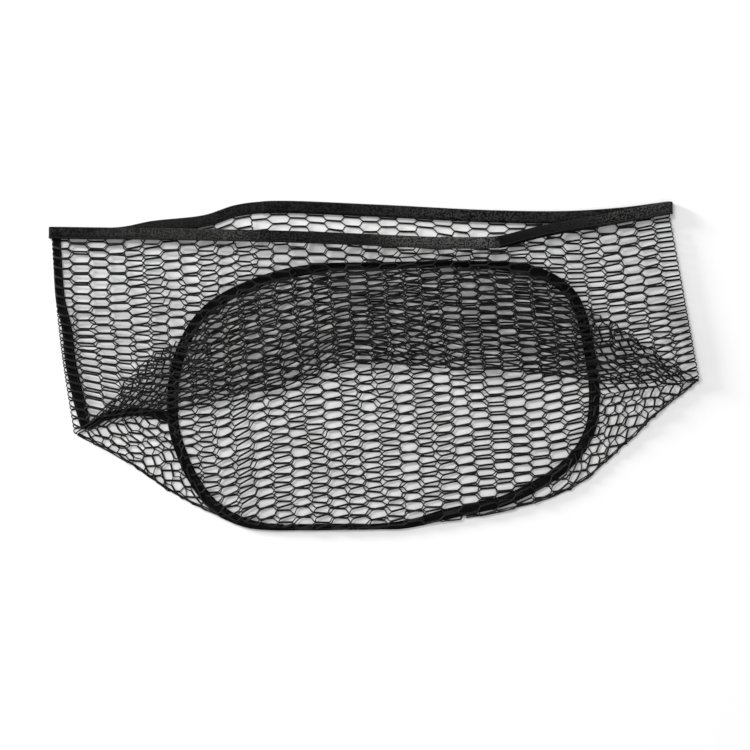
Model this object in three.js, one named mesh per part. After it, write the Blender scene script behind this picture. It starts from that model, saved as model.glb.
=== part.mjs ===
// Hay net: a bag of knotless netting with an oval base, empty and laid down on its back wall.
// Millimetres, +Z up, +X to the right and +Y towards the mouth. The origin is the middle of the
// footprint, on the surface that the net lies on.
//
// From the floor up the layers are: back wall, inside of the bag, base pushed into the bag with
// its outer face up, the tucked end of the front wall, inside of the bag again, front wall.
import * as THREE from 'three';

// Driving dimensions
const netThickness = 3;
const tapeWidth = 25;
const tapeThickness = 1.4;
const rimTapeThickness = 4.4; // the rim tape is folded over the edge of the net
const threadThickness = 0.8;
const stitchInset = 3; // from the edge of the rim tape to its line of stitches
const lowerRoom = 10; // inside of the bag between the back wall and the base
const upperRoom = 12; // inside of the bag between the tucked end and the front wall
const gap = 0.4; // clearance between neighbouring pieces
const stepsPerSpan = 3; // points that each span of a smooth line is drawn with

// Height of the underside of each layer
const rimBackLevel = 0;
const wallBackLevel = 0;
const sideLevel = rimBackLevel + rimTapeThickness + threadThickness + 2 * gap;
const seamThreadLevel = wallBackLevel + netThickness + lowerRoom;
const seamTapeLevel = seamThreadLevel + threadThickness + gap;
const baseLevel = seamTapeLevel + tapeThickness + gap;
const tuckLevel = baseLevel + netThickness + gap;
const wallFrontLevel = tuckLevel + netThickness + upperRoom;
const rimFrontLevel = wallFrontLevel - (rimTapeThickness - netThickness) / 2;
const rimThreadBackLevel = rimBackLevel + rimTapeThickness + gap;
const rimThreadFrontLevel = rimFrontLevel - threadThickness - gap;

// Lines of the folds and seams on the plan, each from left to right or from the mouth down
const backRimLine = [
  [-741, 302], [-585, 302], [-510, 316], [-388, 330], [-316, 353],
  [-240, 361], [0, 353], [266, 340], [440, 338], [567, 346], [676, 360],
];
const frontRimLine = [
  [-741, 302], [-406, 297], [-171, 291], [0, 284], [151, 278],
  [282, 279], [381, 305], [484, 323], [676, 358],
];
const leftSideLine = [[-746, 302], [-726, 82], [-705, -72], [-689, -160]];
const rightSideLine = [[680, 360], [702, 226], [726, 84], [746, -38]];
const bottomLine = [
  [-689, -160], [-574, -222], [-450, -304], [-309, -364], [-174, -375], [0, -376],
  [151, -362], [302, -337], [452, -286], [551, -208], [661, -105], [746, -38],
];
const creaseLine = [
  [-685, -158], [-620, -120], [-516, -109], [-383, -86], [-187, -46], [-61, 2],
  [135, -8], [385, -20], [532, -43], [742, -40],
];
const leftDiagonal = [[-685, -158], [-613, -93], [-532, 1], [-434, 64]];
const rightDiagonal = [[742, -40], [661, 17], [581, 75], [484, 132]];

// Seam between the base and the wall: an egg-shaped loop, counter-clockwise from its left end
const baseSeamLine = [
  [-464, -120], [-440, -214], [-398, -290], [-312, -345], [-174, -361], [0, -362],
  [151, -348], [304, -310], [440, -232], [492, -160], [505, -85], [496, 17],
  [458, 150], [401, 199], [277, 226], [0, 224], [-118, 220], [-256, 190],
  [-383, 125], [-446, 26],
];
// Side seam: down the left side just inside the fold, then back along the crease to the base
const sideSeamLine = [[-729, 288], [-708, 82], [-688, -72], [-671, -140]];
const tuckedSeamLine = [[-671, -140], [-600, -106], [-481, -106]];

function smooth(line, closed = false) {
  const points = line.map(([x, y]) => new THREE.Vector3(x, y, 0));
  const curve = new THREE.CatmullRomCurve3(points, closed, 'centripetal');
  const spans = closed ? points.length : points.length - 1;
  const drawn = curve.getPoints(spans * stepsPerSpan);
  if (closed) drawn.pop();
  return drawn.map((point) => new THREE.Vector2(point.x, point.y));
}

// The line moved sideways by a distance, to the left of its direction, with mitred corners
function offset(points, distance, closed = false) {
  const count = points.length;
  return points.map((point, index) => {
    const before = points[closed ? (index + count - 1) % count : Math.max(index - 1, 0)];
    const after = points[closed ? (index + 1) % count : Math.min(index + 1, count - 1)];
    const incoming = point.clone().sub(before);
    const outgoing = after.clone().sub(point);
    if (incoming.lengthSq() === 0) incoming.copy(outgoing);
    if (outgoing.lengthSq() === 0) outgoing.copy(incoming);
    incoming.normalize();
    outgoing.normalize();
    const side = new THREE.Vector2(-incoming.y - outgoing.y, incoming.x + outgoing.x).normalize();
    const mitre = side.dot(new THREE.Vector2(-incoming.y, incoming.x));
    return point.clone().addScaledVector(side, distance / mitre);
  });
}

function reversed(points) {
  return [...points].reverse();
}

function slab(outline, height, hole = null) {
  const shape = new THREE.Shape(outline);
  if (hole) shape.holes.push(new THREE.Path(hole));
  return new THREE.ExtrudeGeometry(shape, { depth: height, bevelEnabled: false });
}

// A flat band of a given width along an open line, or round a closed one
function band(points, width, height, closed = false) {
  const left = offset(points, width / 2, closed);
  const right = offset(points, -width / 2, closed);
  if (closed) return slab(right, height, left);
  return slab([...right, ...reversed(left)], height);
}

const netting = new THREE.MeshStandardMaterial({ color: 0x1c1c1d, roughness: 0.75, metalness: 0 });
const webbing = new THREE.MeshStandardMaterial({ color: 0x161617, roughness: 0.6, metalness: 0 });
const thread = new THREE.MeshStandardMaterial({ color: 0x101011, roughness: 0.5, metalness: 0 });

const hayNet = new THREE.Group();

function addPiece(name, geometry, material, level) {
  const piece = new THREE.Mesh(geometry, material);
  piece.name = name;
  piece.position.z = level;
  hayNet.add(piece);
}

const leftSide = smooth(leftSideLine);
const rightSide = smooth(rightSideLine);
const bottom = smooth(bottomLine);
const crease = smooth(creaseLine);
const backRim = smooth(backRimLine);
const frontRim = smooth(frontRimLine);
const baseSeam = smooth(baseSeamLine, true);
const belowTape = -(tapeWidth / 2 + gap);

// Points of the base seam, moved out or in, that pass a test
function seamArc(distance, test) {
  return offset(baseSeam, -distance, true).filter(test);
}

// Wall netting: one panel round the bag, made as flat stretches between its folds
function addWallNet() {
  const rimEdgeBack = offset(backRim, belowTape);
  const backOutline = [
    ...leftSide.slice(1),
    ...bottom.slice(1),
    ...reversed(rightSide).slice(1, -2),
    ...reversed(rimEdgeBack),
  ];
  addPiece('wall_net_back', slab(backOutline, netThickness), netting, wallBackLevel);

  const rimEdgeFront = offset(frontRim, belowTape);
  const frontOutline = [
    ...leftSide.slice(1),
    ...crease.slice(1),
    ...reversed(rightSide).slice(1, -2),
    ...reversed(rimEdgeFront),
  ];
  addPiece('wall_net_front', slab(frontOutline, netThickness), netting, wallFrontLevel);

  const topOfSeam = seamArc(0, (point) => point.y > 100);
  const tuckOutline = [
    ...crease,
    ...smooth(rightDiagonal).slice(1, -1),
    ...topOfSeam,
    ...reversed(smooth(leftDiagonal)).slice(1, -1),
  ];
  addPiece('wall_net_tuck', slab(tuckOutline, netThickness), netting, tuckLevel);

  // The folded-back stretches lie inside the bottom line, from the ears to where the seam meets it
  const inset = offset(bottom, netThickness);
  const leftArcAbove = seamArc(gap, (point) => point.x < -400 && point.y < 64 && point.y > -119);
  const leftArcBelow = seamArc(gap, (point) => point.x < -312 && point.y <= -119);
  const foldLeftOutline = [
    ...inset.filter((point) => point.x < -330 && point.x > -682),
    ...reversed(leftArcBelow),
    ...reversed(leftArcAbove),
    ...reversed(smooth(leftDiagonal)).slice(1, -1),
  ];
  addPiece('wall_net_fold_left', slab(foldLeftOutline, netThickness), netting, baseLevel);

  const rightArc = seamArc(gap, (point) => point.x > 304 && point.y < 130);
  const foldRightOutline = [
    ...inset.filter((point) => point.x > 330 && point.x < 738),
    ...smooth(rightDiagonal).slice(1, -1),
    ...reversed(rightArc),
  ];
  addPiece('wall_net_fold_right', slab(foldRightOutline, netThickness), netting, baseLevel);

  const sideHeight = rimThreadFrontLevel - gap - sideLevel;
  const leftStrip = band(offset(leftSide, netThickness / 2), netThickness, sideHeight);
  addPiece('wall_net_side_left', leftStrip, netting, sideLevel);
  const rightStrip = band(offset(rightSide, -netThickness / 2), netThickness, sideHeight);
  addPiece('wall_net_side_right', rightStrip, netting, sideLevel);
}

function addBase() {
  const baseOutline = offset(baseSeam, gap, true);
  addPiece('base_net', slab(baseOutline, netThickness), netting, baseLevel);
  const seamTape = band(baseSeam, tapeWidth, tapeThickness, true);
  addPiece('base_binding', seamTape, webbing, seamTapeLevel);
  const seamThread = band(baseSeam, threadThickness, threadThickness, true);
  addPiece('base_thread', seamThread, thread, seamThreadLevel);
}

// Rim tape, with its line of stitches near the edge that faces the net
function addRim(side, line, tapeLevel, threadLevel) {
  const stitchLine = offset(line, stitchInset - tapeWidth / 2);
  addPiece(`rim_binding_${side}`, band(line, tapeWidth, rimTapeThickness), webbing, tapeLevel);
  const stitches = band(stitchLine, threadThickness, threadThickness);
  addPiece(`rim_thread_${side}`, stitches, thread, threadLevel);
}

function addSideSeam() {
  const seam = [...smooth(sideSeamLine), ...smooth(tuckedSeamLine).slice(1)];
  addPiece('side_binding', band(seam, tapeWidth, tapeThickness), webbing, seamTapeLevel);
  const seamThread = band(seam, threadThickness, threadThickness);
  addPiece('side_thread', seamThread, thread, seamThreadLevel);
}

addWallNet();
addBase();
addRim('back', backRim, rimBackLevel, rimThreadBackLevel);
addRim('front', frontRim, rimFrontLevel, rimThreadFrontLevel);
addSideSeam();

// The origin goes to the middle of the footprint
hayNet.updateMatrixWorld(true);
const middle = new THREE.Box3().setFromObject(hayNet).getCenter(new THREE.Vector3());
hayNet.position.set(-middle.x, -middle.y, 0);

export default hayNet;
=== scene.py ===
import math

import bmesh
import bpy
import numpy as np
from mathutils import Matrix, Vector


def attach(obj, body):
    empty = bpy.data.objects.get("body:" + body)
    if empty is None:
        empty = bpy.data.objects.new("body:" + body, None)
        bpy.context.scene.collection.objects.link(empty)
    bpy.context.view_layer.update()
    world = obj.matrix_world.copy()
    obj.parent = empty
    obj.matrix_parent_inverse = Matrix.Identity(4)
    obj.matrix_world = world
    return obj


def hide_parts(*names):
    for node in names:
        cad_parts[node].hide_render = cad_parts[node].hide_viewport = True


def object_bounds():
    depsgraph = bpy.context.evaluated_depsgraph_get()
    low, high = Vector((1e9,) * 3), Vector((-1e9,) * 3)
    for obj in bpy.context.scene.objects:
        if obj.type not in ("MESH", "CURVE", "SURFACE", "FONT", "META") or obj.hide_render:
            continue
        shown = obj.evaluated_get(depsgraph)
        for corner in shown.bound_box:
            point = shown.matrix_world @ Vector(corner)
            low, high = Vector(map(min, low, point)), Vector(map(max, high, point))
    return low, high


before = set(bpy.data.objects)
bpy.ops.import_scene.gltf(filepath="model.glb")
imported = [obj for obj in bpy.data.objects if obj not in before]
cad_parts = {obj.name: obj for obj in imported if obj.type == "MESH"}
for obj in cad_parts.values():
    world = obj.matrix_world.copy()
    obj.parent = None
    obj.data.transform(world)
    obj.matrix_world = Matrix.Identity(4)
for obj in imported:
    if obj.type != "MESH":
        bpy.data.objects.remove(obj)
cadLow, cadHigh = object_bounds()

mm = 0.001
tiny = 1e-12
fullTurn = 2 * math.pi

# Plan lines of the folds and seams, in millimetres, each from left to right
planLines = {
    "backRim": [(-741, 302), (-585, 302), (-510, 316), (-388, 330), (-316, 353), (-240, 361), (0, 353),
                (266, 340), (440, 338), (567, 346), (676, 360)],
    "frontRim": [(-741, 302), (-406, 297), (-171, 291), (0, 284), (151, 278), (276, 279), (291, 281),
                 (381, 304), (484, 323), (676, 358)],
    "bottom": [(-689, -160), (-574, -222), (-450, -304), (-309, -364), (-174, -375), (0, -376),
               (151, -362), (302, -337), (452, -286), (551, -208), (661, -105), (746, -38)],
    "crease": [(-689, -160), (-620, -120), (-516, -109), (-383, -86), (-187, -46), (-61, 2), (135, -8),
               (385, -20), (532, -43), (746, -38)],
    "leftDiagonal": [(-689, -160), (-613, -93), (-532, 1), (-434, 64)],
    "rightDiagonal": [(746, -38), (661, 17), (581, 75), (484, 132)],
    # the base seam goes round from its left end by the bottom
    "baseSeam": [(-464, -120), (-440, -214), (-402, -286), (-367, -325), (-332, -348), (-286, -366),
                 (-240, -374), (-171, -378), (-79, -377), (13, -373), (59, -369), (105, -360), (151, -346),
                 (220, -331), (304, -311), (440, -232), (492, -160), (505, -85), (496, 17), (458, 150),
                 (401, 199), (277, 226), (0, 225), (-118, 220), (-256, 190), (-383, 125), (-446, 26)],
    "sideSeam": [(-731, 299), (-729, 255), (-722, 150), (-707, 82), (-699, 10), (-684, -63), (-672, -112),
                 (-664, -148)],
    "tuckedSeam": [(-654, -146), (-634, -128), (-613, -119), (-567, -111), (-521, -110), (-486, -117),
                   (-464, -124)],
}


def smoothStep(value):
    value = np.clip(value, 0.0, 1.0)
    return value * value * (3.0 - 2.0 * value)


def lengthOf(vectors):
    return np.linalg.norm(vectors, axis=-1)


def unit(vectors):
    return vectors / np.maximum(lengthOf(vectors), tiny)[..., None]


def lengthAlong(points):
    # how far along a line each of its points is
    return np.concatenate([[0.0], np.cumsum(lengthOf(np.diff(points, axis=0)))])


def pointsAt(points, along, at):
    return np.stack([np.interp(at, along, points[:, axis]) for axis in range(points.shape[1])], axis=-1)


def evenLine(points, step=0.002):
    # the same line with its points a step apart, and how far along it each of them is
    along = lengthAlong(points)
    at = np.linspace(0.0, along[-1], max(3, int(along[-1] / step)))
    return pointsAt(points, along, at), at


def smoothLine(name, closed=False, steps=24):
    # a centripetal Catmull-Rom curve through the plan's points, in metres
    points = np.array(planLines[name], float) * mm
    points[:, 1] += planShift
    if closed:
        padded = np.vstack([points[-1], points, points[0], points[1]])
    else:
        padded = np.vstack([2 * points[0] - points[1], points, 2 * points[-1] - points[-2]])
    drawn = []
    for p0, p1, p2, p3 in zip(padded, padded[1:], padded[2:], padded[3:]):
        t1 = lengthOf(p1 - p0) ** 0.5
        t2 = t1 + lengthOf(p2 - p1) ** 0.5
        t3 = t2 + lengthOf(p3 - p2) ** 0.5
        t = np.linspace(t1, t2, steps, endpoint=False)[:, None]
        a1 = (t1 - t) / t1 * p0 + t / t1 * p1
        a2 = (t2 - t) / (t2 - t1) * p1 + (t - t1) / (t2 - t1) * p2
        a3 = (t3 - t) / (t3 - t2) * p2 + (t - t2) / (t3 - t2) * p3
        b1 = (t2 - t) / t2 * a1 + t / t2 * a2
        b2 = (t3 - t) / (t3 - t1) * a2 + (t - t1) / (t3 - t1) * a3
        drawn.append((t2 - t) / (t2 - t1) * b1 + (t - t1) / (t2 - t1) * b2)
    drawn.append(points[:1] if closed else points[-1:])
    return evenLine(np.vstack(drawn))


def pointAt(line, fraction):
    points, along = line
    return pointsAt(points, along, np.clip(fraction, 0.0, 1.0) * along[-1])


def outwardOf(loop):
    # the direction out of a closed loop that runs anticlockwise, at each of its points
    tangent = unit(np.roll(loop, -1, 0) - np.roll(loop, 1, 0))
    return np.column_stack([tangent[:, 1], -tangent[:, 0]])


def leftOf(path):
    # the direction to the left of an open line, at each of its points
    tangent = unit(np.gradient(path, axis=0))
    return np.column_stack([-tangent[:, 1], tangent[:, 0]])


# the plan was drawn before the part was centred, so it is shifted to the frame's low edge
planShift = cadLow[1] - min(y for x, y in planLines["bottom"]) * mm
lines = {name: smoothLine(name, closed=name == "baseSeam") for name in planLines}
netInsideSeam = 0.003  # the wall netting ends this far inside the base seam
seamLoop = lines["baseSeam"][0][:-1]
seamInner = seamLoop - netInsideSeam * outwardOf(seamLoop)
leftMost = int(np.argmin(seamInner[:, 0]))
rightMost = int(np.argmax(seamInner[:, 0]))
turned = np.roll(seamInner, -leftMost, axis=0)
rightMost = (rightMost - leftMost) % len(turned)
lines["seamBelow"] = evenLine(turned[:rightMost + 1])
lines["seamAbove"] = evenLine(np.vstack([turned[rightMost:], turned[:1]])[::-1])
print("plan lines ready: base seam", round(float(lines["baseSeam"][1][-1]), 3), "m round")

layers = {
    "back": 0.0020,         # middle of the back wall's cords above the floor
    "backRipple": 0.0005,
    "step": 0.0037,         # from one layer of netting to the next where they are pressed together
    "loose": 0.0016,        # added between layers that only lie on each other
    "seam": 0.0050,         # from the back wall up to the base seam
    "seamBottom": 0.0022,   # added along the bottom fold
    "seamRise": 0.0085,     # how far the far side of the base seam stands up
    "riseFrom": -0.02,      # y where the rise starts
    "frontLoft": 0.0165,    # how far the front wall stands off in its middle
    "frontShare": 0.55,     # share of this that it has near the bottom fold too
    "ripple": 0.0011,       # height of the waves in the netting
    "leftFold": ((-0.16, 0.302), (-0.689, -0.746)),  # y and x of the ends of the side folds
    "rightFold": ((-0.038, 0.36), (0.746, 0.680)),
    "leftLoft": 0.42,       # how far in from each of them the loft is full
    "rightLoft": 0.40,
}


def ripple(x, y, seed, length, count=7):
    # smooth waves of about unit height, the same for the same seed
    draw = np.random.default_rng(seed)
    total = 0.0
    for _ in range(count):
        angle, phase = draw.uniform(0, fullTurn, 2)
        wave = length * draw.uniform(0.7, 1.5)
        total = total + np.sin(fullTurn * (x * math.cos(angle) + y * math.sin(angle)) / wave + phase)
    return total / math.sqrt(count / 2)


def sideLoft(x, y):
    # 0 at the two side folds, 1 well inside
    left = x - np.interp(y, *layers["leftFold"])
    right = np.interp(y, *layers["rightFold"]) - x
    return smoothStep(left / layers["leftLoft"]) * smoothStep(right / layers["rightLoft"])


def heightBack(x, y):
    return layers["back"] + layers["backRipple"] * (1 + ripple(x, y, 11, 0.16))


def heightSeam(y):
    bottomRise = layers["seamBottom"] * smoothStep((-0.25 - y) / 0.1)
    farRise = layers["seamRise"] * smoothStep((y - layers["riseFrom"]) / 0.22)
    return layers["back"] + layers["seam"] + bottomRise + farRise


def heightBase(x, y):
    wave = layers["ripple"] * ripple(x, y, 21, 0.22)
    rise = layers["seamRise"] * smoothStep((y - layers["riseFrom"]) / 0.24) * sideLoft(x, y)
    return heightBack(x, y) + layers["step"] + layers["loose"] + np.maximum(wave, -0.001) + rise


def heightTuck(x, y):
    return heightBase(x, y) + layers["step"] + layers["loose"] * sideLoft(x, y)


def heightFront(x, y):
    loft = sideLoft(x, y)
    share = layers["frontShare"]
    lift = layers["frontLoft"] * loft * (share + (1 - share) * smoothStep((y - layers["riseFrom"]) / 0.28))
    wave = 1.2 * layers["ripple"] * ripple(x, y, 31, 0.2) * loft
    return heightBack(x, y) + 3 * layers["step"] + 0.001 + lift + wave


def linkObject(name, mesh):
    item = bpy.data.objects.new(name, mesh)
    bpy.context.scene.collection.objects.link(item)
    return item


def edgesObject(name, runs):
    # runs of points as one mesh of edges; a run is its points, and whether it closes on itself
    points, edges = [], []
    for run, closed in runs:
        first = len(points)
        points.extend(map(tuple, run))
        edges.extend((first + i, first + i + 1) for i in range(len(run) - 1))
        if closed:
            edges.append((first + len(run) - 1, first))
    mesh = bpy.data.meshes.new(name)
    mesh.from_pydata(points, edges, [])
    return linkObject(name, mesh)


def tapeObject(name, lengths, thickness, material):
    # closed slabs about grids of points (along, across, 3), with a UV map in metres;
    # a length of tape is its grid, whether it closes on itself, and where its UV starts
    points, faces, uvs = [], [], []
    for grid, closed, startU in lengths:
        count, width = grid.shape[:2]
        along = np.roll(grid, -1, 0) - np.roll(grid, 1, 0) if closed else np.gradient(grid, axis=0)
        half = unit(np.cross(along, np.gradient(grid, axis=1))) * thickness / 2
        section = np.concatenate([grid + half, (grid - half)[:, ::-1]], axis=1)
        size = 2 * width
        first = len(points)
        points.extend(map(tuple, section.reshape(-1, 3)))
        middle = grid[:, width // 2]
        u = startU + lengthAlong(middle)
        lastU = u[-1] + float(lengthOf(middle[0] - middle[-1]))
        v = lengthAlong(grid[0])
        v = np.concatenate([v, v[::-1]])
        for i in range(count if closed else count - 1):
            k = (i + 1) % count
            nextU = lastU if k == 0 else u[k]
            for j in range(size):
                n = (j + 1) % size
                corners = [(i, j), (k, j), (k, n), (i, n)]
                faces.append([first + row * size + at for row, at in corners])
                uvs.extend([(u[i], v[j]), (nextU, v[j]), (nextU, v[n]), (u[i], v[n])])
        if not closed:
            for row, at in ((0, u[0]), (count - 1, u[-1])):
                for j in range(width - 1):
                    corners = [j, j + 1, size - 2 - j, size - 1 - j]
                    if not row:
                        corners.reverse()
                    faces.append([first + row * size + c for c in corners])
                    uvs.extend([(at, v[c]) for c in corners])
    mesh = bpy.data.meshes.new(name)
    mesh.from_pydata(points, [], faces)
    mesh.uv_layers.new(name="tapeUV").data.foreach_set("uv", np.array(uvs, float).ravel())
    mesh.materials.append(material)
    work = bmesh.new()
    work.from_mesh(mesh)
    bmesh.ops.recalc_face_normals(work, faces=work.faces)
    work.to_mesh(mesh)
    work.free()
    for face in mesh.polygons:
        face.use_smooth = True
    return linkObject(name, mesh)


def newTree(name, inputs):
    # a geometry tree with these inputs for its sizes, and one for its material
    tree = bpy.data.node_groups.new(name, "GeometryNodeTree")
    tree.interface.new_socket("Geometry", in_out="INPUT", socket_type="NodeSocketGeometry")
    tree.interface.new_socket("Geometry", in_out="OUTPUT", socket_type="NodeSocketGeometry")
    for label, value in inputs.items():
        kind = "NodeSocketInt" if isinstance(value, int) else "NodeSocketFloat"
        tree.interface.new_socket(label, in_out="INPUT", socket_type=kind).default_value = value
    tree.interface.new_socket("Material", in_out="INPUT", socket_type="NodeSocketMaterial")
    return tree


def setInputs(node, inputs):
    # an input is given a value, or the output of another node, which is linked to it
    for key, value in inputs.items():
        if isinstance(value, bpy.types.NodeSocket):
            node.id_data.links.new(value, node.inputs[key])
        else:
            node.inputs[key].default_value = value


def addNode(tree, kind, x, y, inputs=None, **settings):
    # adds a node and returns its outputs
    node = tree.nodes.new(kind)
    node.location = (x, y)
    for key, value in settings.items():
        setattr(node, key, value)
    setInputs(node, inputs or {})
    return node.outputs


def addMath(tree, operation, x, y, *values):
    return addNode(tree, "ShaderNodeMath", x, y, dict(enumerate(values)), operation=operation)["Value"]


def keepValue(tree, x, y, geometry, name, value):
    kept = {"Geometry": geometry, "Name": name, "Value": value}
    kind = "GeometryNodeStoreNamedAttribute"
    return addNode(tree, kind, x, y, kept, data_type="FLOAT", domain="POINT")["Geometry"]


def finishTree(tree, geometry, material):
    smooth = addNode(tree, "GeometryNodeSetShadeSmooth", 100, 60, {"Geometry": geometry})
    realize = addNode(tree, "GeometryNodeRealizeInstances", 260, 60, {"Geometry": smooth["Geometry"]})
    dressed = addNode(tree, "GeometryNodeSetMaterial", 420, 60,
                      {"Geometry": realize["Geometry"], "Material": material})
    addNode(tree, "NodeGroupOutput", 600, 60, {"Geometry": dressed["Geometry"]})
    return tree


def makeCordTree():
    # sweeps a round cord along every run of edges, and keeps where each point is on it
    tree = newTree("sweepCord", {"Cord radius": 0.0012, "Sides": 6})
    source = addNode(tree, "NodeGroupInput", -1100, 0)
    curve = addNode(tree, "GeometryNodeMeshToCurve", -700, 100, {"Mesh": source["Geometry"]})
    place = addNode(tree, "GeometryNodeSplineParameter", -700, -60)
    path = keepValue(tree, -500, 100, curve["Curve"], "alongCord", place["Length"])
    ring = addNode(tree, "GeometryNodeCurvePrimitiveCircle", -700, -220,
                   {"Resolution": source["Sides"], "Radius": source["Cord radius"]})
    ringPlace = addNode(tree, "GeometryNodeSplineParameter", -1100, -380)
    doubled = addMath(tree, "MULTIPLY_ADD", -900, -380, ringPlace["Factor"], 2.0, -1.0)
    mirrored = addMath(tree, "ABSOLUTE", -700, -380, doubled)
    profile = keepValue(tree, -500, -220, ring["Curve"], "roundCord", mirrored)
    sweep = addNode(tree, "GeometryNodeCurveToMesh", -280, 60,
                    {"Curve": path, "Profile Curve": profile, "Fill Caps": True})
    return finishTree(tree, sweep["Mesh"], source["Material"])


def makeStitchTree():
    # lays a small rounded stitch at every step along each run of edges
    tree = newTree("layStitches", {"Pitch": 0.0052, "Stitch length": 0.004, "Thread radius": 0.0005})
    source = addNode(tree, "NodeGroupInput", -900, 0)
    curve = addNode(tree, "GeometryNodeMeshToCurve", -700, 100, {"Mesh": source["Geometry"]})
    spaced = addNode(tree, "GeometryNodeResampleCurve", -500, 100,
                     {"Curve": curve["Curve"], "Length": source["Pitch"]}, mode="LENGTH")
    tangent = addNode(tree, "GeometryNodeInputTangent", -500, -80)
    turn = addNode(tree, "FunctionNodeAlignRotationToVector", -300, -80,
                   {"Vector": tangent["Tangent"]}, axis="X")
    ball = addNode(tree, "GeometryNodeMeshUVSphere", -500, -260, {"Segments": 6, "Rings": 4, "Radius": 1.0})
    shape = addNode(tree, "ShaderNodeCombineXYZ", -500, -420, {
        "X": addMath(tree, "MULTIPLY", -700, -420, source["Stitch length"], 0.5),
        "Y": source["Thread radius"],
        "Z": source["Thread radius"],
    })
    stitch = addNode(tree, "GeometryNodeTransform", -300, -260,
                     {"Geometry": ball["Mesh"], "Scale": shape["Vector"]})
    lay = addNode(tree, "GeometryNodeInstanceOnPoints", -80, 60, {
        "Points": spaced["Curve"], "Instance": stitch["Geometry"], "Rotation": turn["Rotation"],
    })
    return finishTree(tree, lay["Instances"], source["Material"])


def growMesh(item, tree, values):
    # runs a tree on an object, then keeps the result as a plain mesh
    modifier = item.modifiers.new(tree.name, "NODES")
    modifier.node_group = tree
    for socket in tree.interface.items_tree:
        if socket.item_type == "SOCKET" and socket.in_out == "INPUT" and socket.name in values:
            modifier[socket.identifier] = values[socket.name]
    item.update_tag()
    graph = bpy.context.evaluated_depsgraph_get()
    grown = item.evaluated_get(graph)
    made = bpy.data.meshes.new_from_object(grown, preserve_all_data_layers=True, depsgraph=graph)
    made.name = item.name
    item.modifiers.remove(modifier)
    item.data = made
    return item


def growCords(name, runs):
    values = {"Cord radius": wallNet["cordRadius"], "Sides": wallNet["sides"], "Material": cordBlack}
    item = growMesh(edgesObject(name, runs), sweepCord, values)
    print(name, "has", len(runs), "strands and", len(item.data.polygons), "faces")
    return item


def sewStitches(name, runs, threadRadius=0.0005):
    values = {"Thread radius": threadRadius, "Material": threadBlack}
    return growMesh(edgesObject(name, runs), layStitches, values)


def grey(value, warm=0.0):
    return (value * (1 + warm), value, value * (1 - warm), 1.0)


def newMaterial(name):
    material = bpy.data.materials.new(name)
    material.use_nodes = True
    return material, material.node_tree, material.node_tree.nodes["Principled BSDF"]


def addRamp(tree, x, y, value, stops):
    outputs = addNode(tree, "ShaderNodeValToRGB", x, y, {"Fac": value})
    elements = outputs["Color"].node.color_ramp.elements
    elements[0].position, elements[0].color = stops[0]
    elements[1].position, elements[1].color = stops[-1]
    for position, colour in stops[1:-1]:
        elements.new(position).color = colour
    return outputs["Color"]


def addRange(tree, x, y, value, low, high):
    # brings what lies between low and high to 0 to 1
    inputs = {"Value": value, "From Min": low, "From Max": high}
    return addNode(tree, "ShaderNodeMapRange", x, y, inputs)["Result"]


def addNoise(tree, x, y, scale, detail):
    where = addNode(tree, "ShaderNodeTexCoord", x - 200, y)
    return addNode(tree, "ShaderNodeTexNoise", x, y, {
        "Vector": where["Object"], "Scale": scale, "Detail": detail,
    })["Fac"]


def makeDustGroup():
    # a mask of soft patches of fine chaff dust, where a black textile looks paler
    group = bpy.data.node_groups.new("chaffDust", "ShaderNodeTree")
    for label, value in (("Patch size", 6.0), ("Speck size", 400.0)):
        group.interface.new_socket(label, in_out="INPUT", socket_type="NodeSocketFloat").default_value = value
    group.interface.new_socket("Mask", in_out="OUTPUT", socket_type="NodeSocketFloat")
    source = addNode(group, "NodeGroupInput", -1000, 0)
    patches = addRange(group, -340, 100, addNoise(group, -560, 100, source["Patch size"], 3.0), 0.38, 0.66)
    specks = addRange(group, -340, -200, addNoise(group, -560, -200, source["Speck size"], 2.0), 0.35, 0.75)
    addNode(group, "NodeGroupOutput", 60, 0, {"Mask": addMath(group, "MULTIPLY", -120, 0, patches, specks)})
    return group


def addDust(tree, colour, dusted, patchSize=6.0, speckSize=400.0):
    # the colour, with dust of the other colour on it
    mask = addNode(tree, "ShaderNodeGroup", -460, 480, {"Patch size": patchSize, "Speck size": speckSize},
                   node_tree=chaffDust)
    return addNode(tree, "ShaderNodeMix", 20, 300, {"Factor": mask["Mask"], "A": colour, "B": dusted},
                   data_type="RGBA")["Result"]


def addRelief(tree, height, strength, distance):
    return addNode(tree, "ShaderNodeBump", -140, -120, {
        "Height": height, "Strength": strength, "Distance": distance,
    })["Normal"]


cordFinish = {
    # shadow is painted shade in the grooves of the knit, crest a painted highlight on its crests
    "shadow": 0.002, "crestHighlight": 0.010, "dust": 0.020,
    "roughness": 0.45, "specular": 0.16, "sheen": 0.02, "sheenRoughness": 0.4,
    "plaitLength": 0.0042, "plaitTurns": 1.0, "bump": 0.35, "bumpDepth": 0.0004,
}


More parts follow.
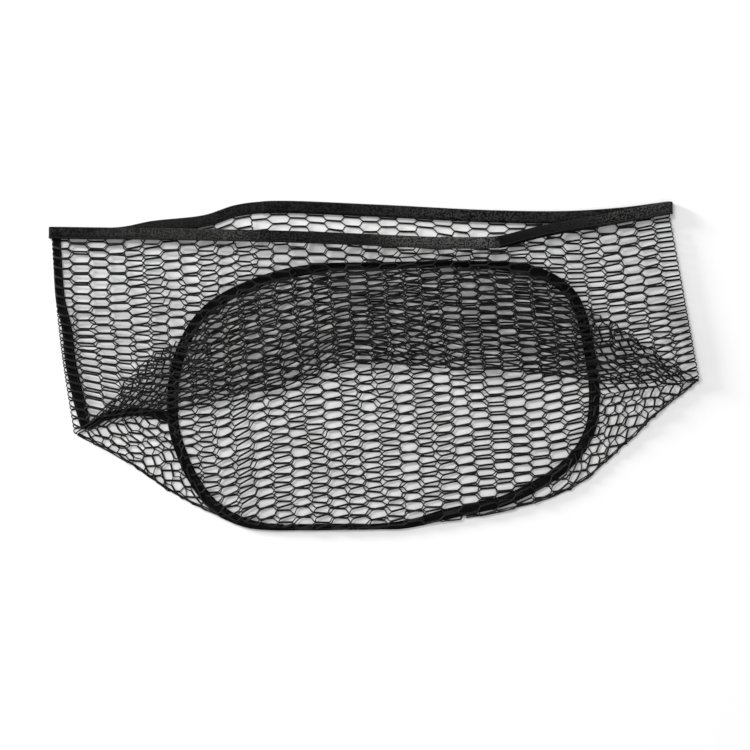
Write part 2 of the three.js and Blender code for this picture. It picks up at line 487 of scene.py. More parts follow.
def makeCordMaterial():
    # knitted cord: small chevrons run along it, coloured from painted shade in their grooves to a painted
    # highlight on their crests
    material, tree, shader = newMaterial("knittedCord")
    along = addNode(tree, "ShaderNodeAttribute", -1200, 200, attribute_name="alongCord")
    turn = addNode(tree, "ShaderNodeAttribute", -1200, -60, attribute_name="roundCord")
    alongAngle = addMath(tree, "MULTIPLY", -1000, 200, along["Fac"], fullTurn / cordFinish["plaitLength"])
    plaitTurn = fullTurn * cordFinish["plaitTurns"]
    chevron = addMath(tree, "MULTIPLY_ADD", -820, 80, turn["Fac"], plaitTurn, alongAngle)
    height = addRange(tree, -460, 80, addMath(tree, "SINE", -640, 80, chevron), -1.0, 1.0)
    # painted shade in the grooves of the chevrons, painted highlight on their crests
    colour = addRamp(tree, -240, 240, height,
                     [(0.15, grey(cordFinish["shadow"])), (0.9, grey(cordFinish["crestHighlight"], 0.02))])
    setInputs(shader, {
        "Base Color": addDust(tree, colour, grey(cordFinish["dust"], 0.04), 7.0, 260.0),
        "Normal": addRelief(tree, height, cordFinish["bump"], cordFinish["bumpDepth"]),
        "Roughness": cordFinish["roughness"],
        "Specular IOR Level": cordFinish["specular"],
        "Sheen Weight": cordFinish["sheen"],
        "Sheen Roughness": cordFinish["sheenRoughness"],
    })
    return material


tapeFinish = {
    "rib": 0.0034, "line": 0.0027, "bump": 0.6, "bumpDepth": 0.0006,
    "wearScale": 290.0, "weaveShare": 0.4,
    "roughness": 0.75, "specular": 0.05, "sheen": 0.008, "sheenRoughness": 0.45,
}


def makeTapeMaterial(name, low, high, dusted, weighting):
    # woven tape: ribs across it and lines along it, paler or darker along its length by a ramp, given as
    # pairs of a place along the tape in metres and its tone there; on the rim tape the ramp is painted sheen
    # and painted shade
    material, tree, shader = newMaterial(name)
    uv = addNode(tree, "ShaderNodeUVMap", -1500, 0, uv_map="tapeUV")
    place = addNode(tree, "ShaderNodeSeparateXYZ", -1320, 0, {"Vector": uv["UV"]})
    ribAngle = addMath(tree, "MULTIPLY", -1140, 120, place["X"], fullTurn / tapeFinish["rib"])
    lineAngle = addMath(tree, "MULTIPLY", -1140, -80, place["Y"], fullTurn / tapeFinish["line"])
    ribs = addMath(tree, "SINE", -980, 120, ribAngle)
    threads = addMath(tree, "SINE", -980, -80, lineAngle)
    weave = addRange(tree, -660, 20, addMath(tree, "MULTIPLY", -820, 20, ribs, threads), -1.0, 1.0)
    blotch = addRange(tree, -800, 340, addNoise(tree, -980, 340, tapeFinish["wearScale"], 2.0), 0.44, 0.56)
    mottle = addMath(tree, "MULTIPLY_ADD", -620, 240, weave, tapeFinish["weaveShare"], blotch)
    toneSpan = weighting[-1][0]
    spanShare = addMath(tree, "DIVIDE", -1140, 560, place["X"], toneSpan)
    # tone along the tape from the ramp: on the rim tape this is painted sheen and painted shade
    alongTone = addRamp(tree, -900, 560, spanShare, [(at / toneSpan, grey(value)) for at, value in weighting])
    tone = addMath(tree, "MULTIPLY", -460, 240, mottle, alongTone)
    colour = addRamp(tree, -260, 200, tone, [(0.12, grey(low)), (1.0, grey(high, 0.02))])
    setInputs(shader, {
        "Base Color": addDust(tree, colour, grey(dusted, 0.03), 5.0, 330.0),
        "Normal": addRelief(tree, weave, tapeFinish["bump"], tapeFinish["bumpDepth"]),
        "Roughness": tapeFinish["roughness"],
        "Specular IOR Level": tapeFinish["specular"],
        "Sheen Weight": tapeFinish["sheen"],
        "Sheen Roughness": tapeFinish["sheenRoughness"],
    })
    return material


def makeThreadMaterial():
    material, tree, shader = newMaterial("sewingThread")
    where = addNode(tree, "ShaderNodeTexCoord", -900, 0)
    twist = addNode(tree, "ShaderNodeTexWave", -700, 0, {
        "Vector": where["Object"], "Scale": 900.0, "Distortion": 1.5,
    }, bands_direction="DIAGONAL")
    colour = addRamp(tree, -440, 0, twist["Fac"], [(0.2, grey(0.010)), (0.9, grey(0.032))])
    setInputs(shader, {
        "Base Color": addDust(tree, colour, grey(0.05)),
        "Roughness": 0.45,
        "Specular IOR Level": 0.3,
    })
    return material


# painted sheen and shade along the rim tape: paler stretches are painted sheen where it faces the light,
# darker ones painted shade where it rolls away; along the front from the left, then back along the far side
rimSheenAndShade = [(0.0, 0.24), (0.08, 0.28), (0.16, 0.45), (0.42, 0.55), (0.50, 0.26), (0.74, 0.26), (0.82, 0.9),
           (1.02, 1.0), (1.035, 0.04), (1.20, 0.08), (1.30, 0.45), (1.44, 0.5), (1.60, 0.3), (1.95, 0.42),
           (2.20, 0.22), (2.42, 0.22), (2.44, 0.65), (2.62, 0.55), (2.75, 0.4), (2.90, 0.25)]
chaffDust = makeDustGroup()
cordBlack = makeCordMaterial()
# its tone along the rim is painted sheen and painted shade
rimTapeBlack = makeTapeMaterial("rimTape", 0.0008, 0.080, 0.018, rimSheenAndShade)
seamTapeBlack = makeTapeMaterial("seamTape", 0.0008, 0.006, 0.005, [(0.0, 0.5), (1.2, 0.7), (2.6, 0.5)])
threadBlack = makeThreadMaterial()
sweepCord = makeCordTree()
layStitches = makeStitchTree()

rimTape = {
    "width": 0.0265,          # folded over the edge of the netting
    "thickness": 0.0012,
    "foldRadius": 0.0019,
    "overlapRadius": 0.0033,  # of the second length, which is sewn over the ends of the first
    "overlap": 6,             # steps of the loop that the first length reaches under the second
    "backHeight": 0.0027,     # middle of the folded tape above the floor at the back of the mouth
    "cornerHeight": 0.0125,   # the same for the front, at the two side folds
    "frontRise": 0.0165,      # how much higher the middle of the front is
    "netInside": 0.004,       # how far the netting reaches below the middle of the fold
    "joinFront": 0.279,       # where the second length starts on the front, from the middle
    "joinBack": -0.256,       # where it ends on the back
    "frontRoll": 0.10,        # slight rolls of the tape, in radians
    "backRoll": 0.05,
    "joinRoll": 0.42,         # and how far it leans back past the front join
    "stitchInset": 0.003, "threadRadius": 0.00055,
    "floorGap": 0.0003,
}


def rimHeightFront(x):
    rise = smoothStep((x + 0.585) / 0.42) * smoothStep((0.68 - x) / 0.38)
    return rimTape["cornerHeight"] + rimTape["frontRise"] * rise


def rimLoop(steps=220):
    # the middle of the folded tape round the mouth: the front from left to right, then the back
    f = np.linspace(0.0, 1.0, steps)
    front = pointAt(lines["frontRim"], f)
    back = pointAt(lines["backRim"], f)[::-1]
    front = np.column_stack([front, rimHeightFront(front[:, 0])])
    back = np.column_stack([back, np.full(len(back), rimTape["backHeight"])])
    turns = []
    for start, end, way in ((front[-1], back[0], 1.0), (back[-1], front[0], -1.0)):
        angles = np.linspace(0, math.pi, 14)[1:-1, None]
        points = start + (end - start) * (1 - np.cos(angles)) / 2
        points[:, :1] += way * abs(end[2] - start[2]) / 2 * np.sin(angles)
        turns.append(points)
    half = len(turns[1]) // 2
    return np.vstack([turns[1][half:], front, turns[0], back, turns[1][:half]])


def rimFrame(loop):
    # the directions across the tape and out of it, with its slight rolls
    tangent = unit(np.roll(loop, -1, 0) - np.roll(loop, 1, 0))
    up = np.array([0.0, 1.0, 0.0])
    across = unit(up - tangent * (tangent @ up)[:, None])
    outward = np.cross(tangent, across)
    x = loop[:, 0]
    pastJoin = smoothStep((x - rimTape["joinFront"]) / 0.012) * smoothStep((0.60 - x) / 0.16)
    frontRoll = rimTape["frontRoll"] * np.sin(x * 7.0 + 0.6) - rimTape["joinRoll"] * pastJoin
    backRoll = rimTape["backRoll"] * np.sin(x * 9.0)
    roll = np.where(tangent[:, 0] > 0.2, frontRoll, backRoll)
    # none where the tape turns round a side fold
    roll = (roll * np.clip(np.abs(tangent[:, 0]) * 2 - 1, 0, 1))[:, None]
    return across * np.cos(roll) + outward * np.sin(roll), outward * np.cos(roll) - across * np.sin(roll)


def foldedProfile(width, radius):
    # across the tape: down one face, round the fold, up the other
    leg = np.linspace(-width / 2, width / 2 - radius, 4)
    angles = np.linspace(-math.pi / 2, math.pi / 2, 7)[1:-1]
    bend = np.column_stack([width / 2 - radius + radius * np.cos(angles), radius * np.sin(angles)])
    return np.vstack([np.column_stack([leg, np.full(4, -radius)]), bend,
                      np.column_stack([leg[::-1], np.full(4, radius)])])


def makeRimTape():
    loop = rimLoop()
    across, outward = rimFrame(loop)
    isFront = np.arange(len(loop)) < len(loop) // 2
    firstJoin = int(np.argmax(isFront & (loop[:, 0] > rimTape["joinFront"])))
    lastJoin = int(np.argmax(~isFront & (loop[:, 0] < rimTape["joinBack"])))
    along = lengthAlong(loop)
    order = np.arange(len(loop))
    overlap = rimTape["overlap"]
    first = np.concatenate([order[lastJoin - overlap:], order[:firstJoin + overlap + 1]])
    second = order[firstJoin:lastJoin + 1]
    lengths = []
    for pick, radius, startU in ((first, rimTape["foldRadius"], along[lastJoin - overlap] - along[-1]),
                                 (second, rimTape["overlapRadius"], along[firstJoin])):
        profile = foldedProfile(rimTape["width"] + (radius - rimTape["foldRadius"]), radius)
        grid = loop[pick][:, None] + across[pick][:, None] * profile[None, :, :1] + \
            outward[pick][:, None] * profile[None, :, 1:]
        low = grid[:, :, 2].min(axis=1) - rimTape["thickness"] / 2
        grid[:, :, 2] += np.maximum(rimTape["floorGap"] - low, 0)[:, None]
        lengths.append((grid, False, startU))
    tape = tapeObject("rimBinding", lengths, rimTape["thickness"], rimTapeBlack)
    inset = rimTape["stitchInset"] - rimTape["width"] / 2
    runs = []
    for side in (1, -1):
        for pick, radius in ((first[3:-8], rimTape["foldRadius"]), (second, rimTape["overlapRadius"])):
            reach = side * (radius + rimTape["thickness"] / 2 + 0.0002)
            run = loop[pick] + across[pick] * inset + outward[pick] * reach
            way = np.gradient(run, axis=0)
            # a stitch on a slope must not dip below the floor
            run[:, 2] = np.maximum(run[:, 2], 0.0007 + 0.0025 * np.abs(way[:, 2]) / lengthOf(way))
            runs.append((run, False))
    return tape, sewStitches("rimStitches", runs, rimTape["threadRadius"])


seamTape = {
    "width": 0.025, "thickness": 0.0012,
    "below": 0.0025,      # under the middle of the cords that it is sewn to
    "bendAbove": 0.0030,  # where it wraps over the far side of the seam
    "bendBelow": 0.0011,  # where it lies folded in at the near side
    "fullBend": math.radians(174),
    "foldFrom": 0.0045,   # the fold starts this far outside the tape's edge, and
    "foldReach": 0.0210,  # moves in by this much when the outer half is all folded back
    "foldShift": 0.006,   # the tape then lies this much further out
    "lowest": 0.0044,
    # how far its outer half is folded back, from the left end of the near side and of the far side
    "foldNear": [(-0.402, 0.0), (-0.332, 0.36), (-0.286, 0.5), (-0.240, 0.75), (-0.171, 1.0), (-0.079, 1.0),
                 (0.013, 0.8), (0.059, 0.58), (0.105, 0.48), (0.151, 0.33), (0.220, 0.15), (0.304, 0.0)],
    "foldFar": [(-0.383, 0.0), (-0.310, 0.2), (-0.194, 0.35), (-0.080, 0.7), (0.100, 0.8), (0.240, 0.8),
                (0.335, 0.4), (0.401, 0.0)],
}


def makeSeamTape(steps=420, pieces=21, fineSteps=121):
    loop = pointAt(lines["baseSeam"], np.linspace(0, 1, steps, endpoint=False))
    outward = outwardOf(loop)
    isFar = outward[:, 1] > 0
    share = np.where(isFar, np.interp(loop[:, 0], *zip(*seamTape["foldFar"])),
                     np.interp(loop[:, 0], *zip(*seamTape["foldNear"])))
    radius = np.where(isFar, seamTape["bendAbove"], seamTape["bendBelow"])[:, None]
    way = np.where(isFar, 1.0, -1.0)[:, None]
    half = seamTape["width"] / 2
    fine = np.linspace(-half, half, fineSteps)
    foldAt = (half + seamTape["foldFrom"] - seamTape["foldReach"] * share)[:, None]
    angle = np.clip((fine[None] - foldAt) / radius, 0, seamTape["fullBend"])
    step = fine[1] - fine[0]
    out = np.cumsum(np.cos(angle), axis=1) * step
    out += (-half - out[:, :1]) + (seamTape["foldShift"] * share)[:, None]
    rise = way * np.cumsum(np.sin(angle), axis=1) * step
    pick = np.linspace(0, fineSteps - 1, pieces).astype(int)
    height = heightSeam(loop[:, 1]) - seamTape["below"]
    grid = np.zeros((steps, pieces, 3))
    grid[:, :, :2] = loop[:, None] + outward[:, None] * out[:, pick, None]
    grid[:, :, 2] = height[:, None] + rise[:, pick] + 0.0004 * ripple(grid[:, :, 0], grid[:, :, 1], 41, 0.09)
    grid[:, :, 2] = np.maximum(grid[:, :, 2], seamTape["lowest"])
    tape = tapeObject("baseBinding", [(grid, True, 0.0)], seamTape["thickness"], seamTapeBlack)
    row = pieces // 4
    sewn = grid[:, row]
    along = np.roll(sewn, -1, 0) - np.roll(sewn, 1, 0)
    offset = unit(np.cross(along, grid[:, row + 1] - grid[:, row - 1])) * (seamTape["thickness"] / 2 + 0.0001)
    return tape, sewStitches("baseStitches", [(sewn + offset, True), (sewn - offset, True)])


sideTape = {
    "width": 0.024, "thickness": 0.0012,
    # shares of its width down the side, and then back to the base seam
    "widthDown": [(0.0, 0.80), (0.10, 0.86), (0.25, 1.0), (0.40, 1.12), (0.455, 0.9)],
    "widthTucked": [(0.0, 0.55), (0.05, 0.8), (0.14, 0.78), (0.20, 1.0)],
    "aboveBack": 0.0026,   # over the middle of the back wall's cords
    "tuckStart": 0.0040,   # the same for the tucked end, where it is folded from the other length
    "belowBase": 0.0022,   # and under the base netting further on
    "stitchLift": 0.0007,
}


def makeSideTape():
    lengths, runs = [], []
    for name, widths, startU in (("sideSeam", "widthDown", 0.0), ("tuckedSeam", "widthTucked", 0.46)):
        path, along = evenLine(lines[name][0], 0.006)
        side = leftOf(path)
        if name == "tuckedSeam":
            # its first end is cut along the other length, which it is folded from
            side[0] = side[0] * 0.7 + np.array([0.25, 0.9]) * 0.3
        wide = sideTape["width"] * np.interp(along, *zip(*sideTape[widths]))
        across = np.linspace(-0.5, 0.5, 7)
        grid = np.zeros((len(path), 7, 3))
        grid[:, :, :2] = path[:, None] + side[:, None] * (wide[:, None, None] * across[None, :, None])
        x, y = grid[:, :, 0], grid[:, :, 1]
        if name == "sideSeam":
            height = heightBack(x, y) + sideTape["aboveBack"]
        else:
            rising = smoothStep(along / 0.04)[:, None]
            start = heightBack(x, y) + sideTape["tuckStart"]
            height = start * (1 - rising) + (heightBase(x, y) - sideTape["belowBase"]) * rising
        grid[:, :, 2] = height + 0.0003 * ripple(x, y, 43, 0.07)
        lengths.append((grid, False, startU))
        for column in (1, 5):
            for way in (1, -1):
                runs.append((grid[1:-1, column] + np.array([0, 0, way * sideTape["stitchLift"]]), False))
    tape = tapeObject("sideBinding", lengths, sideTape["thickness"], seamTapeBlack)
    return tape, sewStitches("sideStitches", runs)


wallNet = {
    "columns": 68,           # cells round the bag
    "rows": 34,              # more than enough rows of cells down the wall; the rest is cut off at the seam
    "rowPitch": 0.0226,
    "cellPitch": 0.0418,     # from one column to the next
    "lean": 0.0082,          # how far a short strand reaches sideways
    # how it rounds off into a long side: shares of the lean, and how much of the way to that side is done
    "bends": ((0.62, 0.84), (1.25, 0.985)),
    "cordRadius": 0.00138, "sides": 6,
    "pairGap": 0.00095,      # half the distance between the two strands of a long side
    "floorGap": 0.0004,
    "cornerLeft": (-0.395, -0.400),  # where the even columns end on the far and the near side of the seam
    "cornerRight": (0.455, 0.440),
    "sideRadius": 0.0048,    # of the rounded side folds
    "foldRadius": 0.0055,    # of the rounded bottom folds, on the plan
    "slack": 0.006,          # netting that the front has more than the back
    "gathered": 0.085,       # length gathered under the front rim, right of the middle
    "gatherAt": 0.22, "gatherWidth": 0.16, "gatherDepth": 0.11,
    "slip": 0.25,            # rows that the front and the back slip against each other, away from the folds
    "slipLeft": 0.022, "slipRight": 0.3,
    "earLift": 0.030,        # how much the rows curve up to the two ears
    "leftLift": 0.036, "leftLiftWidth": 0.38,   # and how much the lower rows do over the left part
    "rightLift": 0.065, "rightLiftWidth": 0.5,  # and those of the back over the right part
    "leftBulge": 0.008,
    "earStrands": (0.0014, 0.0046),  # strands that lie along the bottom fold at the ears, in from the fold
    "earEnds": (0.335, 0.60),
    "rimBlend": 0.08,        # distance over which the netting leaves the height of the rim tape
    "seamBlend": 0.05,       # and of the base seam
    "swayBlend": 0.05,       # how far from the folds and seams it may wander freely
    "sway": 0.0028, "knotJitter": 0.0012, "seed": 5,
}


def lagOf(distance, radius):
    # how much cloth a rounded fold takes up between its middle and this far from it
    quarter = np.maximum(radius * math.pi / 2, tiny)
    inside = radius * (1 - np.cos(np.clip(distance / quarter, 0, 1) * math.pi / 2))
    return np.where(distance < quarter, distance - inside, quarter - radius)


def foldShare(distance, radius):
    # 0 before a fold, 1 after it
    quarter = np.maximum(radius * math.pi / 2, 1e-6)  # a fold with no radius still has two sides
    return (1 + np.sin(np.clip(distance / quarter, -1, 1) * math.pi / 2)) / 2


def wallSway(column, row, seed):
    # slow wandering of the cells, the same again after a full turn round the bag
    draw = np.random.default_rng(seed)
    total = 0.0
    for _ in range(9):
        turns = draw.integers(3, 15)
        down = draw.uniform(-1.1, 1.1)
        phase = draw.uniform(0, fullTurn)
        total = total + np.sin(fullTurn * column * turns / wallNet["columns"] + down * row + phase)
    return total / math.sqrt(4.5)


def nearestShare(line, point):
    return float(np.argmin(lengthOf(line[0] - point))) / (len(line[0]) - 1)


def acrossLine(name, f):
    # the point of a line a share of its width across
    points = lines[name][0]
    x = points[0, 0] + (points[-1, 0] - points[0, 0]) * np.clip(f, 0, 1)
    return np.stack([x, np.interp(x, points[:, 0], points[:, 1])], axis=-1)


tapeDown = rimTape["width"] / 2 - rimTape["netInside"]


def backColumn(f):
    # where a column of the back wall leaves the rim tape, and where it meets the bottom fold
    return acrossLine("backRim", f) - [0, tapeDown], acrossLine("bottom", f)


def onColumn(f, y):
    top, bottom = backColumn(f)
    share = (top[..., 1] - y) / (top[..., 1] - bottom[..., 1])
    return top[..., 0] + (bottom[..., 0] - top[..., 0]) * share


def crossCrease(f):
    # where the columns cross the crease, which they do at the same place on the front and on the back
    points = lines["crease"][0]
    y = np.zeros_like(f)
    for _ in range(4):
        x = onColumn(f, y)
        y = np.interp(x, points[:, 0], points[:, 1])
    return np.stack([onColumn(f, y), y], axis=-1)


def columnTable(name, corner):
    # for the columns across the bag, how far along one side of the base seam each of them meets it
    points, along = lines[name]
    middle = (points[:, 0] > wallNet["cornerLeft"][corner]) & (points[:, 0] < wallNet["cornerRight"][corner])
    shares = np.linspace(0, 1, 201)
    columns = [np.interp(0, onColumn(shares, np.full_like(shares, y)) - x, shares) for x, y in points[middle]]
    return np.array([0.0, *columns, 1.0]), np.array([0.0, *(along[middle] / along[-1]), 1.0])


tables = {"seamAbove": columnTable("seamAbove", 0), "seamBelow": columnTable("seamBelow", 1)}


def columnOfEnd(name):
    # the column whose place on the far side of the base seam is the inner end of a line
    share = nearestShare(lines["seamAbove"], lines[name][0][-1])
    return float(np.interp(share, *tables["seamAbove"][::-1]))


diagonalLeft = columnOfEnd("leftDiagonal")
diagonalRight = 1 - columnOfEnd("rightDiagonal")


def meetSeam(name, f):
    return pointAt(lines[name], np.interp(f, *tables[name]))


def rowCurl(f, row, rightShare=1.0):
    # how far up the cloth a row has crept
    ears = wallNet["earLift"] * np.abs(2 * f - 1) ** 4 * smoothStep((row - 8) / 10.0)
    left = wallNet["leftLift"] * smoothStep(1 - f / wallNet["leftLiftWidth"]) * smoothStep((row - 4) / 20.0)
    right = wallNet["rightLift"] * smoothStep(1 - (1 - f) / wallNet["rightLiftWidth"])
    return ears + left + right * smoothStep((row - 6) / 16.0) * rightShare


def wallPoints(column, row):
    # places of points of the wall netting, and how much netting is left below each
    count = wallNet["columns"]
    column = np.mod(column, count)
    isFront = column <= count / 2
    onFront = isFront[:, None]
    f = np.where(isFront, column, count - column) / (count / 2)
    span = wallNet["cellPitch"] * count / 2
    fromLeft, fromRight = f * span, (1 - f) * span
    nearest = np.minimum(fromLeft, fromRight)
    sideRadius = wallNet["sideRadius"]
    f = f - lagOf(fromLeft, sideRadius) / span * (1 - f) + lagOf(fromRight, sideRadius) / span * f

    backStart, backFold = backColumn(f)
    start = np.where(onFront, acrossLine("frontRim", f) - [0, tapeDown], backStart)
    end = np.where(onFront, meetSeam("seamAbove", f), meetSeam("seamBelow", f))
    firstFold = np.where(onFront, crossCrease(f), backFold)
    atLeft = (isFront & (f < diagonalLeft))[:, None]
    atRight = (isFront & (f > 1 - diagonalRight))[:, None]
    secondFold = np.where(atLeft, pointAt(lines["leftDiagonal"], f / diagonalLeft), end)
    secondFold = np.where(atRight, pointAt(lines["rightDiagonal"], (1 - f) / diagonalRight), secondFold)

    def levels(points):
        # heights of the wall, of its tuck and of the base there
        x, y = points[:, 0], points[:, 1]
        base = heightBase(x, y)
        wall = np.where(isFront, heightFront(x, y), heightBack(x, y))
        return wall, np.where(isFront, heightTuck(x, y), base), base

    d1, d2, d3 = lengthOf(firstFold - start), lengthOf(secondFold - firstFold), lengthOf(end - secondFold)
    a1, b1, _ = levels(firstFold)
    _, b2, c2 = levels(secondFold)
    room = smoothStep(nearest / 0.06)
    r1 = np.maximum(np.abs(a1 - b1) / 2, wallNet["foldRadius"] * room)
    r1 = np.minimum(r1, 0.4 * np.minimum(d1, d2 + d3))
    r2 = np.minimum(np.abs(b2 - c2) / 2, 0.4 * np.minimum(d2, d3))
    r1 = np.minimum(r1, 0.4 * np.maximum(d2, 1e-6))
    lag = math.pi / 2 - 1
    m1, m2, m3 = d1 + lag * r1, d2 + lag * (r1 + r2), d3 + lag * r2

    # the cloth is as deep at the front as at the back; what the front has too much is gathered
    cloth = lengthOf(backFold - backStart) + lengthOf(meetSeam("seamBelow", f) - backFold) + wallNet["slack"]
    spare = np.maximum(cloth - (m1 + m2 + m3), 0)
    fromGather = (start[:, 0] - wallNet["gatherAt"]) / wallNet["gatherWidth"]
    gather = np.where(isFront, np.minimum(wallNet["gathered"] * np.exp(-fromGather ** 2), 0.7 * spare), 0)
    total = np.where(isFront, cloth, m1 + m2 + m3)
    slip = np.where(isFront, wallNet["slip"], -wallNet["slip"]) * smoothStep(fromLeft / wallNet["slipLeft"])
    slip = slip * smoothStep(fromRight / wallNet["slipRight"])
    rightShare = 0.5 + np.where(isFront, -0.5, 0.5) * smoothStep(fromRight / 0.12)
    used = (row + slip * np.minimum(row, 1)) * wallNet["rowPitch"] - rowCurl(f, row, rightShare)
    remaining = total - used
    used = np.clip(used, 0, total)
    atCrease = m1 + gather
    depth = wallNet["gatherDepth"]
    upper = used - gather * (1 - np.exp(-used / depth)) / (1 - np.exp(-atCrease / depth))
    lower = m1 + (used - atCrease) * (m2 + m3) / np.maximum(total - atCrease, 1e-6)
    at = np.where(isFront, np.where(used < atCrease, upper, lower), used)

    def toward(origin, target, distance, length):
        return origin + (target - origin) * (distance / np.maximum(length, 1e-9))[:, None]

    before = m1 - at
    one = toward(firstFold, start, before - lagOf(before, r1), d1)
    bulge = wallNet["leftBulge"] * np.exp(-7 * f) * np.sin(math.pi * np.clip(at / m1, 0, 1))
    one = one - np.column_stack([bulge, 0 * bulge])
    past, left = at - m1, m1 + m2 - at
    travelled = past - lagOf(past, r1) - (lag * r2 - lagOf(np.maximum(left, 0), r2))
    two = toward(firstFold, secondFold, np.maximum(travelled, 0), d2)
    beyond = np.maximum(-left, 0)
    three = toward(secondFold, end, np.maximum(beyond - lagOf(beyond, r2), 0), d3)
    plan = np.where((at < m1)[:, None], one, np.where((at < m1 + m2)[:, None], two, three))

    weighting = smoothStep(row / 2.0) * smoothStep(remaining / wallNet["swayBlend"])
    weighting = weighting * smoothStep(nearest / wallNet["swayBlend"]) * smoothStep(np.abs(past) / 0.03)
    sway = [wallSway(column, row, wallNet["seed"]), 0.6 * wallSway(column, row, wallNet["seed"] + 1)]
    plan = plan + (weighting * wallNet["sway"])[:, None] * np.column_stack(sway)

    zA, zB, zC = levels(plan)
    height = zA + (zB - zA) * foldShare(past, r1) + (zC - zB) * foldShare(-left, r2)
    # round the side folds, above the ears
    wrap = foldShare(np.where(isFront, nearest, -nearest), np.full_like(nearest, sideRadius))
    x, y = plan[:, 0], plan[:, 1]
    around = heightBack(x, y) + (heightFront(x, y) - heightBack(x, y)) * wrap
    beside = smoothStep(before / 0.03) * (nearest < sideRadius * math.pi / 2)
    height = height + (around - height) * beside
    # into the rim tape and onto the base seam
    nearSide = np.minimum(nearest / (sideRadius * math.pi / 2), 1)
    forward = np.where(isFront, 0.5 + 0.5 * nearSide, 0.5 - 0.5 * nearSide)
    rimHeight = rimTape["backHeight"] + (rimHeightFront(start[:, 0]) - rimTape["backHeight"]) * forward
    height = rimHeight + (height - rimHeight) * smoothStep(at / wallNet["rimBlend"])
    seamHeight = heightSeam(end[:, 1])
    height = seamHeight + (height - seamHeight) * smoothStep(remaining / wallNet["seamBlend"])
    return np.column_stack([plan, height]), remaining


def strandRun(firstColumn, lastColumn, strand, knots, place):
    # one strand across the columns: it lies beside the strand above and the strand below in turn
    lean = wallNet["lean"] / (2 * wallNet["cellPitch"])
    (nearTo, nearOwn), (farTo, farOwn) = wallNet["bends"]
    columns, rows, shifts = [], [], []

    def levelAt(i):
        low = (i + strand) % 2
        level = strand + low
        return level, level + (1 - 2 * low) * wallNet["pairGap"] / (wallNet["rowPitch"] / 2)

    def knot(i, level):
        return knots[i % knots.shape[0], level % knots.shape[1]]

    for i in range(firstColumn, lastColumn + 1):
        level, row = levelAt(i)
        beforeLevel, beforeRow = levelAt(i - 1)
        afterRow = levelAt(i + 1)[1]
        columns.append(i)
        rows.append((row + beforeRow) / 2)
        shifts.append((knot(i, level) + knot(i - 1, beforeLevel)) / 2)
        if i == lastColumn:
            break
        bends = [(nearTo * lean, nearOwn, beforeRow), (farTo * lean, farOwn, beforeRow), (0.5, 1.0, row),
                 (1 - farTo * lean, farOwn, afterRow), (1 - nearTo * lean, nearOwn, afterRow)]
        for offset, own, other in bends:
            columns.append(i + offset)
            rows.append(row * own + other * (1 - own))
            shifts.append(knot(i, level))
    points, remaining = place(np.array(columns, float), np.array(rows, float) / 2)
    points = points + np.array(shifts) * np.array([1.0, 1.0, 0.25])
    points[:, 2] = np.maximum(points[:, 2], wallNet["cordRadius"] + wallNet["floorGap"])
    return points, remaining


def keepAbove(run, depth):
    # the pieces of a run where its depth is above 0, cut exactly where it gets there
    pieces, piece = [], []
    for i in range(len(run)):
        if i and (depth[i] > 0) != (depth[i - 1] > 0):
            share = depth[i - 1] / (depth[i - 1] - depth[i])
            piece.append(run[i - 1] + (run[i] - run[i - 1]) * share)
            if depth[i] <= 0:
                pieces.append(np.array(piece))
                piece = []
        if depth[i] > 0:
            piece.append(run[i])
    pieces.append(np.array(piece))
    return [p for p in pieces if len(p) > 3]


def earStrands():
    # at the ears the netting is pulled tight along its bottom fold, and two strands lie along it
    runs = []
    for start, end in ((0.004, wallNet["earEnds"][0]), (wallNet["earEnds"][1], 0.996)):
        path = pointAt(lines["bottom"], np.linspace(start, end, 60))
        for inset in wallNet["earStrands"]:
            wander = 0.0007 * ripple(path[:, 0], path[:, 1] + inset * 40, 61, 0.06)
            plan = path + leftOf(path) * (inset + wander)[:, None]
            height = heightBack(plan[:, 0], plan[:, 1]) + 0.0016
            runs.append((np.column_stack([plan, height]), False))
    return runs


def makeWallNet():
    draw = np.random.default_rng(wallNet["seed"])
    levels = wallNet["rows"] * 2
    knots = draw.normal(0, wallNet["knotJitter"], (wallNet["columns"], levels + 2, 3))
    knots[:, :2] = 0
    half = wallNet["columns"] // 2
    knots[[0, half, half - 1, -1]] = 0
    made = []
    for name, first in (("wallNetFront", 0), ("wallNetBack", half)):
        runs = []
        for strand in range(levels):
            run, remaining = strandRun(first, first + half, strand, knots, wallPoints)
            runs.extend((piece, False) for piece in keepAbove(run, remaining))
        if name == "wallNetBack":
            runs.extend(earStrands())
        made.append(growCords(name, runs))
    return made


baseNet = {
    "centre": (0.02, -0.08),
    "columnShift": 0.10,   # its columns follow those of the back wall, this share of a cell beside them
    "climbUntil": 17.5,    # from column to column its rows climb by half a cell up to this one
    "climbFade": 5.66, "climbLeft": 0.06,  # and then less
    "levelAt": 26,
    "firstColumn": 4, "lastColumn": 31, "firstStrand": -8, "lastStrand": 84,
    "sway": 0.0016, "seed": 8,
}


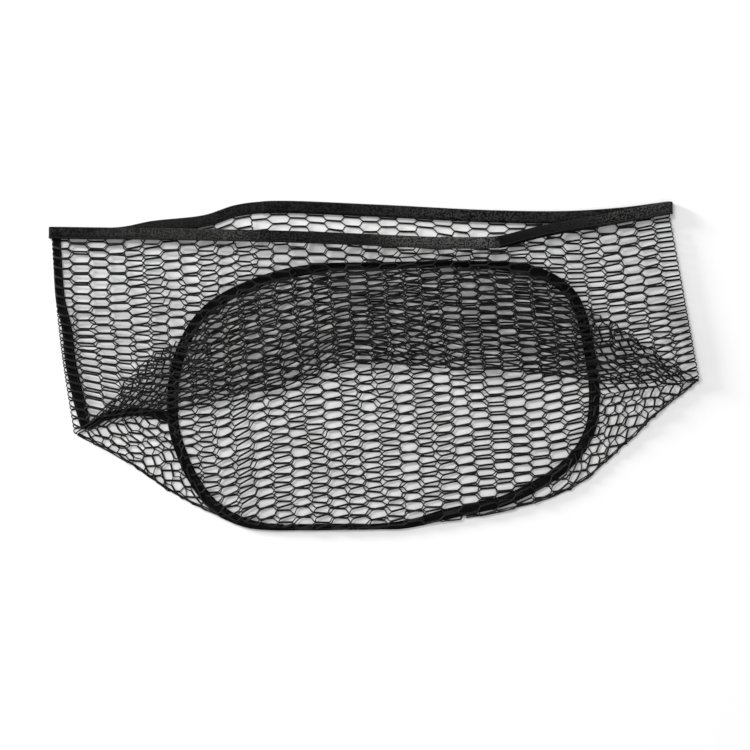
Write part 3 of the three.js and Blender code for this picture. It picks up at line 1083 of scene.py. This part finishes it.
def makeBaseNet():
    loop = lines["baseSeam"][0]

    def bearingOf(offset):
        return np.mod(np.arctan2(offset[:, 1], offset[:, 0]), fullTurn)

    around = loop - baseNet["centre"]
    bearing = bearingOf(around)
    order = np.argsort(bearing)

    def depthInside(points):
        offset = points - baseNet["centre"]
        reach = np.interp(bearingOf(offset), bearing[order], lengthOf(around)[order], period=fullTurn)
        return reach - lengthOf(offset)

    step = 0.05
    counted = np.arange(0, wallNet["columns"] / 2, step)
    easing = smoothStep((counted - baseNet["climbUntil"]) / baseNet["climbFade"])
    climb = np.cumsum(1 - (1 - baseNet["climbLeft"]) * easing) * step * wallNet["rowPitch"] / 2
    climb -= np.interp(baseNet["levelAt"], counted, climb)

    def place(column, row):
        f = (column + baseNet["columnShift"]) / (wallNet["columns"] / 2)
        top, bottom = backColumn(f)
        used = row * wallNet["rowPitch"] - np.interp(column, counted, climb)
        used = used - rowCurl(f, used / wallNet["rowPitch"])
        y = top[:, 1] + (bottom[:, 1] - top[:, 1]) * used / lengthOf(bottom - top)
        x = onColumn(f, y)
        sway = [ripple(x, y, 51, 0.19), ripple(x, y, 52, 0.21)]
        plan = np.column_stack([x, y]) + baseNet["sway"] * np.column_stack(sway)
        depth = depthInside(plan)
        x, y = plan[:, 0], plan[:, 1]
        seam = heightSeam(y)
        height = seam + (heightBase(x, y) - seam) * smoothStep(depth / wallNet["seamBlend"])
        return np.column_stack([plan, height]), depth

    draw = np.random.default_rng(baseNet["seed"])
    knots = draw.normal(0, wallNet["knotJitter"], (40, 94, 3))
    runs = []
    for strand in range(baseNet["firstStrand"], baseNet["lastStrand"]):
        run, depth = strandRun(baseNet["firstColumn"], baseNet["lastColumn"], strand, knots, place)
        runs.extend((piece, False) for piece in keepAbove(run, depth))
    return growCords("baseNet", runs)


rimBinding, rimStitches = makeRimTape()
baseBinding, baseStitches = makeSeamTape()
sideBinding, sideStitches = makeSideTape()
print("tapes and stitches made")
wallNetFront, wallNetBack = makeWallNet()
baseNetting = makeBaseNet()

slots = {
    "netting": [wallNetFront, wallNetBack, baseNetting],
    "webbing": [rimBinding, baseBinding, sideBinding],
    "thread": [rimStitches, baseStitches, sideStitches],
}
for slotName, items in slots.items():
    for item in items:
        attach(item, "root")
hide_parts("wall_net_front", "wall_net_tuck", "wall_net_side_left")
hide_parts("wall_net_back", "wall_net_fold_left", "wall_net_fold_right", "wall_net_side_right")
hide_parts("base_net")
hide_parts("rim_binding_back", "rim_binding_front")
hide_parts("rim_thread_back", "rim_thread_front")
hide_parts("base_binding")
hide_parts("base_thread")
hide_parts("side_binding")
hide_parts("side_thread")

studio = {
    "floor": 0.92, "ambient": 0.63,
    "keyAt": (-5.0, 6.0, 9.0), "keySize": 3.0, "keyPower": 520.0,
    "lowAt": (-9.0, 4.4, 1.5), "lowSize": 2.8, "lowPower": 2100.0,
    "floorHalf": 14.0,
    "viewWidth": 1.725, "cameraPlace": (0.001, -0.024), "cameraHeight": 6.0,
}


def makeFloor():
    mesh = bpy.data.meshes.new("studioFloor")
    half = studio["floorHalf"]
    corners = [(-half, -half, 0), (half, -half, 0), (half, half, 0), (-half, half, 0)]
    mesh.from_pydata(corners, [], [(0, 1, 2, 3)])
    material, _, shader = newMaterial("paleFloor")
    setInputs(shader, {"Base Color": grey(studio["floor"]), "Roughness": 0.95, "Specular IOR Level": 0.1})
    mesh.materials.append(material)
    linkObject("studioFloor", mesh)


def makeLight(name, place, size, power):
    light = bpy.data.lights.new(name, "AREA")
    light.shape = "DISK"
    light.size = size
    light.energy = power
    lamp = linkObject(name, light)
    lamp.location = place
    lamp.rotation_euler = (-Vector(place)).to_track_quat("-Z", "Y").to_euler()


def makeWorld():
    world = bpy.data.worlds.new("studioWorld")
    world.use_nodes = True
    setInputs(world.node_tree.nodes["Background"], {"Color": grey(1.0), "Strength": studio["ambient"]})
    bpy.context.scene.world = world


def makeCamera():
    camera = bpy.data.cameras.new("overhead")
    camera.lens = camera.sensor_width * studio["cameraHeight"] / studio["viewWidth"]
    camera.clip_end = 100.0
    eye = linkObject("overhead", camera)
    eye.location = (*studio["cameraPlace"], studio["cameraHeight"])
    bpy.context.scene.camera = eye


makeFloor()
makeLight("keyLight", studio["keyAt"], studio["keySize"], studio["keyPower"])
makeLight("lowLight", studio["lowAt"], studio["lowSize"], studio["lowPower"])
makeWorld()
makeCamera()
bpy.context.scene.view_settings.view_transform = "Standard"
print("floor, lights and camera ready")
